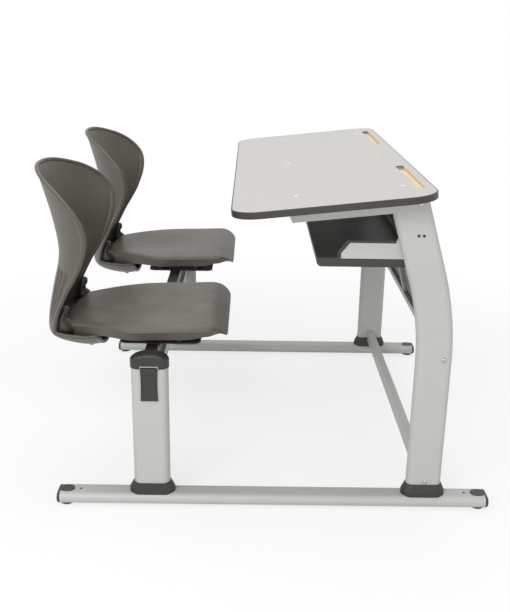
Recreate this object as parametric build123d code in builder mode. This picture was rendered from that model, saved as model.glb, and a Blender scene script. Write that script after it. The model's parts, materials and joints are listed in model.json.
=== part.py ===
from build123d import *
import os
from math import cos, radians, sin, sqrt, tan

os.makedirs("parts", exist_ok=True)

# A two-seat school desk with its bench on one floor frame, in millimetres.
# +Y runs along the desk top, +X points from the seats to the desk, +Z is up.
# Places along X are told from the middle of the floor rails.

# Driving dimensions of the whole
rail_length = 1080
rail_spread = 1032
back_reach = 588
column_setback = 302
leg_setback = 376
seat_spacing = 640
board_length = 1200
board_depth = 460

# Clearances shared by the pieces
fit = 0.1
running = 0.3
pin_running = 0.06
overrun = 5

# Floor rails, flat-oval tube lying on its wide side
rail_width = 60
rail_height = 30
rail_wall = 2
foot_height = 7
cap_nose = 8
anchor_inset = 57.5
anchor_hole = 8
tube_end = rail_length / 2 - cap_nose
anchor_x = rail_length / 2 - anchor_inset
rail_z = foot_height + rail_height / 2
rail_top = foot_height + rail_height

# Rail end caps: nose, plug, two tabs and a round foot
cap_nose_round = 5
cap_plug = 20
cap_tab_length = 37
cap_tab_rise = 2
cap_tab_round = 0.8
foot_diameter = 36
foot_round = 2.5
foot_inset = 22

# Seat columns and the collars at their feet
column_width = 90
column_depth = 40
column_wall = 2.5
column_height = 347
column_top = rail_top + column_height
column_bore_width = column_width - 2 * column_wall
column_bore_depth = column_depth - 2 * column_wall
collar_height = 28
collar_band = 11
collar_drop = 3
collar_lip = 2.2
collar_spread = 11.5
collar_swell = 3.8

# Cross tube between the columns
brace_width = 30
brace_height = 35
brace_wall = 2
brace_below_top = 92

# Desk legs, flat-oval tube bent back over the seats
leg_width = 87
leg_depth = 30
leg_wall = 2.5
leg_bend_start = 389.4
leg_bend_radius = 756.5
leg_bend_angle = 17
leg_collar_height = 30
leg_collar_spread = 11
leg_collar_swell = 8

# Beams between the legs, with solid ends for their screws
stretcher_width = 20
stretcher_height = 40
stretcher_z = 75
crossbeam_width = 20
crossbeam_height = 15
crossbeam_z = 402
crossbeam_offset = 22
stretcher_offset = 2
beam_wall = 2
beam_plug = 24

# Desk board, tilted towards the seats
board_front = -109.5
board_front_z = 761.8
board_tilt = 6.3
board_thickness = 16
board_corner = 65
band_width = 3
band_round = 1.4
tongue_width = 5
tongue_height = 3
tongue_root = 0.5
groove_width = 19
groove_length = 310
groove_depth = 8
groove_round = 3
groove_from_rear = 31.5
groove_middle = 355

# Arms and cross rails under the board
arm_width = 30
arm_height = 31
arm_wall = 2
arm_front = 122.5
arm_rake = 12
top_rail_height = 30
top_rail_wall = 2
front_rail_width = 30
front_rail_inset = 150
rear_rail_width = 46
rear_rail_inset = 409
rear_bolt_inset = 395
board_bolt_side = 466

# Book tray, its side brackets, the strut and the modesty panel
sheet = 1.5
tray_front = 89
tray_rear = 338
tray_floor = 620
tray_corner = 12
tray_rim = 21
tray_rear_height = 80
tray_end_start = 137
tray_end_step = 35
tray_end_slant = 21
tray_end_height = 63
bracket_plate = 4
bracket_start = 145
bracket_step = 12
bracket_slant = 20
bracket_height = 37
bracket_slope_start = 270
bracket_slope = 15
bracket_ear_height = 81
bracket_foot = 641
bracket_end = 345
panel_sheet = 2
panel_half_length = 490
panel_foot = 8
panel_flange = 50
strut_thickness = 8
strut_width = 26
strut_top_gap = 6

# Screws and bolts
leg_screw = 6
leg_screw_head = 12
leg_screw_rise = 3.5
leg_screw_grip = 18
top_screw_offset = 423
tray_screw = 4
tray_screw_head = 7
tray_screw_rise = 1.2
tray_screw_z = 704
tray_screw_front = 315
tray_screw_pitch = 12
tray_nut_across = 7
tray_nut_thickness = 3.2
board_bolt = 6
board_bolt_head = 13
board_bolt_rise = 1.6
board_nut_across = 10
board_nut_thickness = 5
seat_screw = 5
seat_screw_head = 11
seat_screw_rise = 3.2
seat_screw_bite = 22
screw_dome_share = 0.7
screw_socket_share = 0.22
screw_socket_depth_share = 0.5

# Sliding posts in the columns, their bushes and shoes
post_width = 78
post_depth = 24
post_wall = 2
post_foot = 100
post_in_head = 10.7
upper_bush_height = 7
bush_inset = 0.5
lower_bush_z = 240
lower_bush_height = 40
shoe_height = 8
shoe_plug = 20

# Post heads, which cap the columns and take the seat beam
head_wall = 1.5
head_skirt = 12
head_shoulder = 10
head_crown = 23
head_round = 5
notch_width = 44
notch_height = 7.5
beam_width = 30
beam_height = 28
beam_tube_wall = 2
beam_spigot = 18
beam_rise = 16

# Release paddles in the outer faces of the columns
paddle_width = 42
paddle_waist = 1.5
paddle_height = 83
paddle_thickness = 4.6
paddle_below_top = 10
paddle_gap = 0.7
paddle_chamfer = 1.5
paddle_round = 1
thumb_depth = 1.4
thumb_height = 58
thumb_from_bottom = 10
paddle_pin = 3
paddle_pin_drop = 3
paddle_pin_inset = 2.5
paddle_boss = 6
nub_width = 16
nub_height = 6
nub_below_pin = 5
cheek = 2
housing_width = 38
housing_depth = 6.5
housing_foot_rise = 5
housing_floor = 1.5
housing_opening = 17
housing_head = 1.2

# Seat brackets on the beam
seat_plate_length = 200
seat_plate_width = 240
seat_plate_thickness = 3
seat_plate_corner = 18
seat_plate_forward = 17
saddle_drop = 12
saddle_wall = 2.5
saddle_length = 220
seat_screw_back = 11
seat_screw_x = 56
seat_screw_y = 105

# Seat pans
pan_front = -116
pan_rear = -515
pan_half_width = 195
pan_corner = 50
pan_rear_half = 98
pan_turn_half = 151
pan_turn_run = 56
pan_side_run = 165
pan_rear_round = 60
pan_turn_round = 120
pan_side_round = 200
pan_crest = 468
pan_rear_drop = 22
pan_middle_drop = 5
pan_dish_x = -334
pan_roll = 34
pan_roll_drop = 24
pan_lip = 28
pan_wall = 4
pan_dish_radius = 1500
pan_dish_depth = 12
scallop_radius = 30
scallop_depth = 3
scallop_pitch = 46
boss_diameter = 16
back_screw_x = -465
back_screw_y = 60
back_screw_sink = 1.5

# Backrest shells with the hull that runs under the seat
back_top = 829
back_foot = 400
back_half_width = 230
back_waist = 45
back_curve = 310
back_wall = 5
back_bead = 9
back_bead_rise = 2
hull_front = -427
hull_drop = 34
hull_curve = 250
back_form_half = 236
back_form_front = -330
clip_rear = -552
clip_front = -468
clip_inner = 128
clip_thickness = 20
clip_foot = 425
clip_height = 42

# Shape of the backrest at even steps up from two below its foot, as shares of its
# sizes: how far the spine has come forward to the waist, and the curve across
spine_steps = 12
spine_shares = [
    (0.20, 0.88),
    (0.20, 0.88),
    (0.20, 0.88),
    (0.23, 0.89),
    (0.34, 0.88),
    (0.50, 0.87),
    (0.69, 0.87),
    (0.89, 0.85),
    (1.00, 0.83),
    (0.95, 0.83),
    (0.83, 0.87),
    (0.68, 0.94),
    (0.49, 0.99),
    (0.27, 1.00),
    (0.00, 1.00),
    (-0.28, 1.00),
]
# Front outline of the backrest: share of the half width, share of the height
arch_shares = [(0.60, 0.955), (0.90, 0.865), (1.00, 0.745), (0.90, 0.60), (0.76, 0.40), (0.65, 0.22)]
arch_foot_shares = (0.61, 0.12)
# The hull's keel: share of the way back from its front, share of its drop
keel_shares = [
    (-0.04, 0.84),
    (0.24, 1.0),
    (0.42, 0.91),
    (0.66, 0.65),
    (0.79, 0.36),
    (0.92, -0.02),
    (1.1, -0.56),
]

# Places worked out from the sizes above
mid_x = (back_reach - rail_length / 2) / 2
rail_y = rail_spread / 2
column_x = -column_setback
column_face_y = rail_y + column_depth / 2
leg_x = leg_setback
leg_inner_y = rail_y - leg_depth / 2
leg_outer_y = rail_y + leg_depth / 2
crossbeam_x = leg_x + crossbeam_offset
crossbeam_top = crossbeam_z + crossbeam_height / 2
stretcher_x = leg_x + stretcher_offset
tray_half_length = leg_inner_y - bracket_plate
paddle_top_z = column_top - paddle_below_top
paddle_foot_z = paddle_top_z - paddle_height
pin_z = paddle_top_z - paddle_pin_drop
pin_y = column_face_y - paddle_pin_inset
housing_top_z = pin_z + paddle_boss / 2 + 2 * running + housing_head
housing_foot_z = paddle_foot_z + housing_foot_rise
head_width = column_width + 2 * (running + head_wall)
head_depth = column_depth + 2 * (running + head_wall)
head_inner_y = rail_y - head_depth / 2
beam_top = column_top + beam_rise
seat_plate_top = beam_top + seat_plate_thickness
seat_plate_x = column_x + seat_plate_forward
seat_y = seat_spacing / 2
seat_screw_mid = seat_plate_x - seat_screw_back
pan_foot = pan_crest - pan_lip
back_height = back_top - back_foot
back_screw_z = back_foot - hull_drop + back_screw_sink + hull_curve - sqrt(hull_curve**2 - back_screw_y**2)
sides = {"near": -1, "far": 1}
ends = {"rear": -1, "front": 1}


def side_plane(y):
    """Sketch plane seen from the near side: X from the rails' middle, and Z."""
    return Plane(origin=(mid_x, y, 0), x_dir=(1, 0, 0), z_dir=(0, -1, 0))


def plan_plane(z, y=0):
    """Sketch plane seen from above: X from the rails' middle, and Y from y."""
    return Plane(origin=(mid_x, y, z), x_dir=(1, 0, 0), z_dir=(0, 0, 1))


def end_plane(x, y=0):
    """Sketch plane seen from the front: Y from y, and Z."""
    return Plane(origin=(mid_x + x, y, 0), x_dir=(0, 1, 0), z_dir=(1, 0, 0))


def board_plane(depth=0):
    """Plane on the tilted board, its X from the front edge to the rear one."""
    tilt = radians(board_tilt)
    top = Plane(
        origin=(mid_x + board_front, 0, board_front_z),
        x_dir=(cos(tilt), 0, sin(tilt)),
        z_dir=(-sin(tilt), 0, cos(tilt)),
    )
    return top.offset(-depth)


def board_side_plane(y):
    """Upright plane along the board: X up the slope, Y square to its underside."""
    under = board_plane(board_thickness)
    origin = (under.origin.X, y, under.origin.Z)
    return Plane(origin=origin, x_dir=under.x_dir, z_dir=(0, -1, 0))


def save(piece, name):
    piece.part.label = name
    export_step(piece.part, f"parts/{name}.step")


def screw(plane, head, rise, shank, reach):
    """Round-headed screw: the head stands on the plane, the shank goes in."""
    with BuildPart() as body:
        with BuildSketch(plane):
            Circle(head / 2)
        extrude(amount=rise)
        crown = body.faces().sort_by(Axis(plane.origin, plane.z_dir))[-1]
        fillet(crown.edges(), rise * screw_dome_share)
        with BuildSketch(plane.offset(rise)):
            RegularPolygon(head * screw_socket_share, 6)
        extrude(amount=-rise * screw_socket_depth_share, mode=Mode.SUBTRACT)
        with BuildSketch(plane):
            Circle(shank / 2)
        extrude(amount=-reach)
    return body.part


def gather(pieces):
    """One node that holds several separate solids."""
    with BuildPart() as group:
        add(pieces)
    return group


def placed(piece, y):
    """Copy of a piece built on the middle line, moved along the desk."""
    with BuildPart() as copy:
        with Locations((0, y, 0)):
            add(piece.part)
    return copy


# Floor rails and their end caps


def floor_rail(side):
    with BuildPart() as rail:
        with BuildSketch(end_plane(-tube_end, side * rail_y)):
            with Locations((0, rail_z)):
                SlotOverall(rail_width, rail_height)
                SlotOverall(rail_width - 2 * rail_wall, rail_height - 2 * rail_wall, mode=Mode.SUBTRACT)
        extrude(amount=2 * tube_end)
        with Locations(plan_plane(rail_top, side * rail_y)):
            with Locations((-anchor_x, 0), (anchor_x, 0)):
                Hole(anchor_hole / 2)
    return rail


def rail_cap(side, end):
    foot_x = rail_length / 2 - foot_inset
    tab_x = tube_end + cap_nose - cap_nose_round - cap_tab_length / 2
    plug_gap = 2 * (rail_wall + fit)
    with BuildPart() as cap:
        with BuildSketch(end_plane(end * tube_end, side * rail_y)):
            with Locations((0, rail_z)):
                SlotOverall(rail_width, rail_height)
        extrude(amount=end * cap_nose)
        tip = cap.faces().sort_by(Axis.X)[-1 if end > 0 else 0]
        fillet(tip.edges(), cap_nose_round)
        with BuildSketch(end_plane(end * tube_end, side * rail_y)):
            with Locations((0, rail_z)):
                SlotOverall(rail_width - plug_gap, rail_height - plug_gap)
        extrude(amount=-end * cap_plug)
        with BuildSketch(plan_plane(rail_top, side * rail_y)):
            with Locations((end * tab_x, 0)):
                SlotOverall(cap_tab_length, rail_height)
        extrude(amount=cap_tab_rise)
        fillet(cap.faces().sort_by(Axis.Z)[-1].edges(), cap_tab_round)
        with BuildSketch(plan_plane(foot_height, side * rail_y)):
            with Locations((end * tab_x, 0)):
                SlotOverall(cap_tab_length, rail_height)
        extrude(amount=-cap_tab_rise)
        with BuildSketch(plan_plane(foot_height, side * rail_y)):
            with Locations((end * foot_x, 0)):
                Circle(foot_diameter / 2)
        extrude(amount=-foot_height)
        fillet(cap.faces().sort_by(Axis.Z)[0].edges(), foot_round)
    return cap


# Seat columns, the collars at the feet of columns and legs, and the cross tube


def seat_column(side):
    window_z = (housing_top_z + housing_foot_z) / 2
    window_height = housing_top_z - housing_foot_z + 2 * fit
    with BuildPart() as column:
        with BuildSketch(plan_plane(rail_top, side * rail_y)):
            with Locations((column_x, 0)):
                SlotOverall(column_width, column_depth)
                SlotOverall(column_bore_width, column_bore_depth, mode=Mode.SUBTRACT)
        extrude(amount=column_height)
        with BuildSketch(side_plane(side * column_face_y)):
            with Locations((column_x, window_z)):
                Rectangle(housing_width + 2 * fit, window_height)
        extrude(amount=side * (column_wall + overrun), mode=Mode.SUBTRACT)
    return column


def collar(side, x, width, depth, height, spread, swell):
    """Boat-shaped ring that covers the foot of a tube and sits on the rail."""
    with BuildPart() as ring:
        with BuildSketch(plan_plane(rail_top - collar_drop, side * rail_y)):
            with Locations((x, 0)):
                SlotOverall(width + 2 * spread, depth + 2 * swell)
        with BuildSketch(plan_plane(rail_top + collar_band, side * rail_y)):
            with Locations((x, 0)):
                SlotOverall(width + 2 * spread, depth + 2 * swell)
        loft()
        with BuildSketch(plan_plane(rail_top + collar_band, side * rail_y)):
            with Locations((x, 0)):
                SlotOverall(width + 2 * spread, depth + 2 * swell)
        with BuildSketch(plan_plane(rail_top + height, side * rail_y)):
            with Locations((x, 0)):
                SlotOverall(width + 2 * collar_lip, depth + 2 * collar_lip)
        loft()
        with BuildSketch(plan_plane(rail_top - collar_drop, side * rail_y)):
            with Locations((x, 0)):
                SlotOverall(width + 2 * fit, depth + 2 * fit)
        extrude(amount=collar_drop + height, mode=Mode.SUBTRACT)
        with BuildSketch(end_plane(x, side * rail_y)):
            with Locations((0, rail_z)):
                SlotOverall(rail_width + 2 * fit, rail_height + 2 * fit)
        extrude(amount=width, both=True, mode=Mode.SUBTRACT)
    return ring


def leg_collar(side):
    """The leg's collar, notched on its inner side for the stretcher."""
    notch_foot = stretcher_z - stretcher_height / 2 - fit
    ring = collar(side, leg_x, leg_width, leg_depth, leg_collar_height, leg_collar_spread, leg_collar_swell)
    with BuildPart() as notched:
        add(ring.part)
        with BuildSketch(side_plane(side * leg_inner_y)):
            with Locations((stretcher_x, notch_foot)):
                Rectangle(stretcher_width + 2 * fit, stretcher_height, align=(Align.CENTER, Align.MIN))
        extrude(amount=side * (leg_collar_swell + overrun), mode=Mode.SUBTRACT)
    return notched


def cross_tube(x, z, width, height, wall, half_length, plug=0):
    """Rectangular tube along Y, with solid ends where a screw needs them."""
    with BuildPart() as tube:
        with BuildSketch(side_plane(0)):
            with Locations((x, z)):
                Rectangle(width, height)
        extrude(amount=half_length, both=True)
        with BuildSketch(side_plane(0)):
            with Locations((x, z)):
                Rectangle(width - 2 * wall, height - 2 * wall)
        extrude(amount=half_length - plug, both=True, mode=Mode.SUBTRACT)
        if plug:
            with Locations(side_plane(0)):
                with Locations((x, z)):
                    Hole(leg_screw / 2 + fit)
    return tube


# Desk legs with their screws


def leg_form(side, grow=0):
    """A leg's solid form, grown or shrunk all round, past the board's level."""
    lean = radians(leg_bend_angle)
    bend_x = leg_x - leg_bend_radius * (1 - cos(lean))
    bend_z = leg_bend_start + leg_bend_radius * sin(lean)
    rise = board_front_z + leg_width - bend_z
    with BuildPart() as form:
        with BuildLine(side_plane(side * rail_y)):
            Line((leg_x, rail_top), (leg_x, leg_bend_start))
            JernArc((leg_x, leg_bend_start), (0, 1), leg_bend_radius, leg_bend_angle)
            Line((bend_x, bend_z), (bend_x - rise * tan(lean), bend_z + rise))
        with BuildSketch(plan_plane(rail_top, side * rail_y)):
            with Locations((leg_x, 0)):
                SlotOverall(leg_width + 2 * grow, leg_depth + 2 * grow)
        sweep()
    return form.part


def leg_screw_places():
    """Where the screws go through a leg, in X from the rails' middle and Z."""
    tilt = radians(board_tilt)
    drop = board_thickness + top_rail_height / 2
    top_x = board_front + top_screw_offset * cos(tilt) + drop * sin(tilt)
    top_z = board_front_z + top_screw_offset * sin(tilt) - drop * cos(tilt)
    return [(stretcher_x, stretcher_z), (crossbeam_x, crossbeam_z), (top_x, top_z)]


def tray_screw_places():
    return [(tray_screw_front, tray_screw_z), (tray_screw_front + tray_screw_pitch, tray_screw_z)]


def desk_leg(side):
    outer = leg_form(side)
    bore = leg_form(side, -leg_wall)
    with BuildPart() as leg:
        add(outer)
        add(bore, mode=Mode.SUBTRACT)
        split(bisect_by=board_plane(board_thickness), keep=Keep.BOTTOM)
        with Locations(side_plane(side * rail_y)):
            with Locations(*leg_screw_places()):
                Hole(leg_screw / 2 + fit)
            with Locations(*tray_screw_places()):
                Hole(tray_screw / 2 + fit)
    return leg


def outer_face(side, x, z):
    """Plane on a leg's outer face, facing away from the desk."""
    return Plane(origin=(mid_x + x, side * leg_outer_y, z), x_dir=(1, 0, 0), z_dir=(0, side, 0))


def leg_screws():
    reach = leg_depth + leg_screw_grip
    screws = []
    for side in sides.values():
        for x, z in leg_screw_places():
            screws.append(screw(outer_face(side, x, z), leg_screw_head, leg_screw_rise, leg_screw, reach))
    return gather(screws)


def tray_screws():
    reach = leg_depth + bracket_plate + tray_nut_thickness
    screws = []
    for side in sides.values():
        for x, z in tray_screw_places():
            screws.append(screw(outer_face(side, x, z), tray_screw_head, tray_screw_rise, tray_screw, reach))
    return gather(screws)


def tray_nuts():
    with BuildPart() as nuts:
        for side in sides.values():
            with BuildSketch(side_plane(side * tray_half_length)):
                with Locations(*tray_screw_places()):
                    RegularPolygon(tray_nut_across / 2, 6, major_radius=False)
                    Circle(tray_screw / 2 + fit, mode=Mode.SUBTRACT)
            extrude(amount=side * tray_nut_thickness)
    return nuts


# Desk board with its edge band, grooves and bolts


def board_outline(inset):
    """Rounded board outline as a private sketch, in from the board's edge."""
    with BuildSketch() as outline:
        with Locations((board_depth / 2, 0)):
            RectangleRounded(board_depth - 2 * inset, board_length - 2 * inset, board_corner - inset)
    return outline.sketch


def tongue_ring(grow):
    """The band's tongue, which runs all round in a groove in the board's edge."""
    with BuildPart() as ring:
        with BuildSketch(board_plane(board_thickness / 2)):
            add(board_outline(band_width - tongue_root))
            add(board_outline(band_width + tongue_width + grow), mode=Mode.SUBTRACT)
        extrude(amount=tongue_height / 2 + grow, both=True)
    return ring.part


def board_bolt_places():
    """Board bolts: distance from the front edge, and Y."""
    rows = (front_rail_inset, rear_bolt_inset)
    return [(inset, y) for inset in rows for y in (-board_bolt_side, 0, board_bolt_side)]


def pencil_grooves():
    with BuildPart() as grooves:
        with BuildSketch(board_plane()):
            with Locations(*[(board_depth - groove_from_rear, y) for y in (-groove_middle, groove_middle)]):
                SlotOverall(groove_length, groove_width, rotation=90)
        extrude(amount=-groove_depth)
        floors = grooves.faces().filter_by(Axis(board_plane().origin, board_plane().z_dir))
        fillet(floors.sort_by(Axis(board_plane().origin, board_plane().z_dir))[:2].edges(), groove_round)
    return grooves.part


def desk_board():
    tongue = tongue_ring(fit)
    grooves = pencil_grooves()
    with BuildPart() as board:
        with BuildSketch(board_plane()):
            add(board_outline(band_width))
        extrude(amount=-board_thickness)
        add(tongue, mode=Mode.SUBTRACT)
        add(grooves, mode=Mode.SUBTRACT)
        with Locations(board_plane()):
            with Locations(*board_bolt_places()):
                Hole(board_bolt / 2 + fit)
    return board


def board_edge_band():
    tongue = tongue_ring(0)
    with BuildPart() as band:
        with BuildSketch(board_plane()):
            add(board_outline(0))
        extrude(amount=-board_thickness)
        rims = band.faces().filter_by(Axis(board_plane().origin, board_plane().z_dir))
        fillet(rims.edges(), band_round)
        with BuildSketch(board_plane()):
            add(board_outline(band_width))
        extrude(amount=-board_thickness, mode=Mode.SUBTRACT)
        add(tongue)
    return band


def board_bolts():
    reach = board_thickness + top_rail_height + board_nut_thickness
    bolts = []
    for inset, y in board_bolt_places():
        place = board_plane() * Pos(inset, y, 0)
        bolts.append(screw(Plane(place), board_bolt_head, board_bolt_rise, board_bolt, reach))
    return gather(bolts)


def board_nuts():
    with BuildPart() as nuts:
        with BuildSketch(board_plane(board_thickness + top_rail_height)):
            with Locations(*board_bolt_places()):
                RegularPolygon(board_nut_across / 2, 6, major_radius=False)
                Circle(board_bolt / 2 + fit, mode=Mode.SUBTRACT)
        extrude(amount=-board_nut_thickness)
    return nuts


# Arms and cross rails under the board


def top_arm(side):
    leg = leg_form(side, fit)
    reach = rear_rail_inset
    with BuildPart() as arm:
        with BuildSketch(board_side_plane(side * rail_y)) as profile:
            with BuildLine():
                Polyline(
                    (arm_front, 0),
                    (reach, 0),
                    (reach, -arm_height),
                    (arm_front + arm_rake, -arm_height),
                    close=True,
                )
            make_face()
        extrude(amount=arm_width / 2, both=True)
        with BuildSketch(board_side_plane(side * rail_y)):
            add(board_side_plane(side * rail_y).to_local_coords(profile.sketch))
            offset(amount=-arm_wall, kind=Kind.INTERSECTION)
        extrude(amount=arm_width / 2 - arm_wall, both=True, mode=Mode.SUBTRACT)
        add(leg, mode=Mode.SUBTRACT)
    return arm


def top_rail(inset, width, plug):
    """Tube along Y under the board, bolted to it and held between the sides."""
    with BuildPart() as rail:
        with BuildSketch(board_side_plane(0)):
            with Locations((inset, -top_rail_height / 2)):
                Rectangle(width, top_rail_height)
        extrude(amount=leg_inner_y, both=True)
        with BuildSketch(board_side_plane(0)):
            with Locations((inset, -top_rail_height / 2)):
                Rectangle(width - 2 * top_rail_wall, top_rail_height - 2 * top_rail_wall)
        extrude(amount=leg_inner_y - plug, both=True, mode=Mode.SUBTRACT)
        with Locations(board_plane(board_thickness)):
            with Locations(*[place for place in board_bolt_places() if abs(place[0] - inset) < width / 2]):
                Hole(board_bolt / 2 + fit)
        if plug:
            with Locations(side_plane(0)):
                with Locations(leg_screw_places()[-1]):
                    Hole(leg_screw / 2 + fit)
    return rail


# Book tray, its brackets, the strut and the modesty panel


def book_tray():
    """Folded sheet: a low front rim, a floor, a rear wall and two end walls."""
    rim_z = tray_floor + tray_rim
    end_x = tray_end_start
    with BuildPart() as tray:
        with BuildSketch(side_plane(0)):
            with BuildLine():
                fold = FilletPolyline(
                    (tray_front, rim_z),
                    (tray_front, tray_floor),
                    (tray_rear, tray_floor),
                    (tray_rear, tray_floor + tray_rear_height),
                    radius=tray_corner,
                )
                offset(fold, amount=sheet, side=Side.LEFT)
            make_face()
        extrude(amount=tray_half_length, both=True)
        for side in sides.values():
            with BuildSketch(side_plane(side * tray_half_length)) as end_wall:
                with BuildLine():
                    Polyline(
                        (tray_front, tray_floor),
                        (tray_rear, tray_floor),
                        (tray_rear, tray_floor + tray_end_height),
                        (end_x + tray_end_slant, tray_floor + tray_end_height),
                        (end_x, tray_floor + tray_end_step),
                        (end_x, rim_z),
                        (tray_front, rim_z),
                        close=True,
                    )
                make_face()
                fillet(end_wall.vertices().sort_by(Axis.Y)[:2], tray_corner)
            extrude(amount=side * sheet)
    return tray


def tray_bracket(side):
    """Side plate between a leg and the tray, with an ear for its screws."""
    start = bracket_start
    with BuildPart() as plate:
        with BuildSketch(side_plane(side * leg_inner_y)):
            with BuildLine():
                Polyline(
                    (start, bracket_foot),
                    (start, bracket_foot + bracket_step),
                    (start + bracket_slant, bracket_foot + bracket_height),
                    (bracket_slope_start, bracket_foot + bracket_height),
                    (bracket_slope_start + bracket_slope, bracket_foot + bracket_ear_height),
                    (bracket_end, bracket_foot + bracket_ear_height),
                    (bracket_end, bracket_foot),
                    close=True,
                )
            make_face()
        extrude(amount=side * bracket_plate)
        with Locations(side_plane(side * leg_inner_y)):
            with Locations(*tray_screw_places()):
                Hole(tray_screw / 2 + fit)
    return plate


def modesty_panel():
    """Bent sheet from the crossbeam up to the back of the tray."""
    top_z = tray_floor + tray_rear_height
    with BuildPart() as panel:
        with BuildSketch(side_plane(0)):
            with BuildLine():
                bends = Polyline(
                    (crossbeam_x + panel_foot, crossbeam_top),
                    (crossbeam_x, crossbeam_top),
                    (tray_rear, top_z - panel_flange),
                    (tray_rear, top_z),
                )
                offset(bends, amount=panel_sheet, side=Side.RIGHT)
            make_face()
        extrude(amount=panel_half_length, both=True)
    return panel


def tray_strut():
    """Flat bar in front of the panel, on the middle of the crossbeam."""
    slope = (crossbeam_x - tray_rear) / (tray_floor + tray_rear_height - panel_flange - crossbeam_top)
    top_z = tray_floor - strut_top_gap
    top_x = crossbeam_x - slope * (top_z - crossbeam_top)
    across = strut_thickness * sqrt(1 + slope**2)
    with BuildPart() as strut:
        with BuildSketch(side_plane(0)):
            with BuildLine():
                Polyline(
                    (crossbeam_x, crossbeam_top),
                    (top_x, top_z),
                    (top_x - across, top_z),
                    (crossbeam_x - across, crossbeam_top),
                    close=True,
                )
            make_face()
        extrude(amount=strut_width / 2, both=True)
    return strut


# Sliding posts, bushes, shoes and heads


def post_ring(side, foot_z, height, gap):
    """Plastic bush in the column's bore, with the post running through it."""
    with BuildPart() as bush:
        with BuildSketch(plan_plane(foot_z, side * rail_y)):
            with Locations((column_x, 0)):
                SlotOverall(column_bore_width, column_bore_depth)
                SlotOverall(post_width + 2 * gap, post_depth + 2 * gap, mode=Mode.SUBTRACT)
        extrude(amount=height)
    return bush.part


def guide_bushes(side):
    upper_z = column_top - bush_inset - upper_bush_height
    rings = [
        post_ring(side, upper_z, upper_bush_height, running),
        post_ring(side, lower_bush_z, lower_bush_height, running),
    ]
    return gather(rings)


def inner_post(side):
    with BuildPart() as post:
        with BuildSketch(plan_plane(post_foot, side * rail_y)):
            with Locations((column_x, 0)):
                SlotOverall(post_width, post_depth)
                SlotOverall(post_width - 2 * post_wall, post_depth - 2 * post_wall, mode=Mode.SUBTRACT)
        extrude(amount=column_top + post_in_head - post_foot)
    return post


def post_shoe(side):
    """Plug in the post's foot, wide enough to slide in the column's bore."""
    plug_gap = 2 * (post_wall + fit)
    with BuildPart() as shoe:
        with BuildSketch(plan_plane(post_foot, side * rail_y)):
            with Locations((column_x, 0)):
                SlotOverall(column_bore_width - 2 * running, column_bore_depth - 2 * running)
        extrude(amount=-shoe_height)
        with BuildSketch(plan_plane(post_foot, side * rail_y)):
            with Locations((column_x, 0)):
                SlotOverall(post_width - plug_gap, post_depth - plug_gap)
        extrude(amount=shoe_plug)
    return shoe


def post_head(side):
    """Arched cap: a skirt round the column, a socket for the post, a spigot."""
    foot_z = column_top - head_skirt
    shoulder_z = column_top + head_shoulder
    crown_z = column_top + head_crown
    left = column_x - head_width / 2
    right = column_x + head_width / 2
    spigot_gap = 2 * (beam_tube_wall + fit)
    with BuildPart() as head:
        with BuildSketch(plan_plane(foot_z, side * rail_y)):
            with Locations((column_x, 0)):
                SlotOverall(head_width, head_depth)
        extrude(amount=head_skirt + head_crown + overrun)
        with BuildSketch(side_plane(side * rail_y)):
            with BuildLine():
                Polyline((left, shoulder_z), (left, foot_z), (right, foot_z), (right, shoulder_z))
                ThreePointArc((right, shoulder_z), (column_x, crown_z), (left, shoulder_z))
            make_face()
        extrude(amount=head_depth / 2 + overrun, both=True, mode=Mode.INTERSECT)
        fillet(head.faces().sort_by(Axis.Z)[-1].edges(), head_round)
        with BuildSketch(plan_plane(foot_z, side * rail_y)):
            with Locations((column_x, 0)):
                SlotOverall(column_width + 2 * running, column_depth + 2 * running)
        extrude(amount=head_skirt + running, mode=Mode.SUBTRACT)
        with BuildSketch(plan_plane(column_top, side * rail_y)):
            with Locations((column_x, 0)):
                SlotOverall(post_width + 2 * fit, post_depth + 2 * fit)
        extrude(amount=post_in_head, mode=Mode.SUBTRACT)
        with BuildSketch(side_plane(side * (column_face_y + head_depth))):
            with Locations((column_x, foot_z + notch_height / 2)):
                Rectangle(notch_width, notch_height)
        extrude(amount=side * (head_depth + column_wall), mode=Mode.SUBTRACT)
        with BuildSketch(side_plane(side * head_inner_y)):
            with Locations((column_x, beam_top - beam_height / 2)):
                Rectangle(beam_width - spigot_gap, beam_height - spigot_gap)
        extrude(amount=side * beam_spigot)
    return head


# Release paddles and their housings in the columns


def latch_housing(side):
    """Open box in the column's window that holds the paddle's pin."""
    mid_z = (housing_top_z + housing_foot_z) / 2
    height = housing_top_z - housing_foot_z
    inner_width = housing_width - 2 * cheek
    with BuildPart() as housing:
        with BuildSketch(side_plane(side * column_face_y)):
            with Locations((column_x, mid_z)):
                Rectangle(housing_width, height)
        extrude(amount=side * housing_depth)
        with BuildSketch(side_plane(side * column_face_y)):
            with Locations((column_x, mid_z)):
                Rectangle(inner_width, height - 2 * housing_head)
        extrude(amount=side * (housing_depth - housing_floor), mode=Mode.SUBTRACT)
        with BuildSketch(side_plane(side * column_face_y)):
            with Locations((column_x, housing_top_z - housing_head)):
                Rectangle(inner_width, housing_opening, align=(Align.CENTER, Align.MAX))
        extrude(amount=side * (housing_depth + overrun), mode=Mode.SUBTRACT)
        with BuildSketch(end_plane(column_x, side * pin_y)):
            with Locations((0, pin_z)):
                Circle(paddle_pin / 2 + fit)
        extrude(amount=housing_width, both=True, mode=Mode.SUBTRACT)
    return housing


def paddle_pin_rod(side):
    with BuildPart() as rod:
        with BuildSketch(end_plane(column_x, side * pin_y)):
            with Locations((0, pin_z)):
                Circle(paddle_pin / 2)
        extrude(amount=housing_width / 2, both=True)
    return rod


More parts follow.
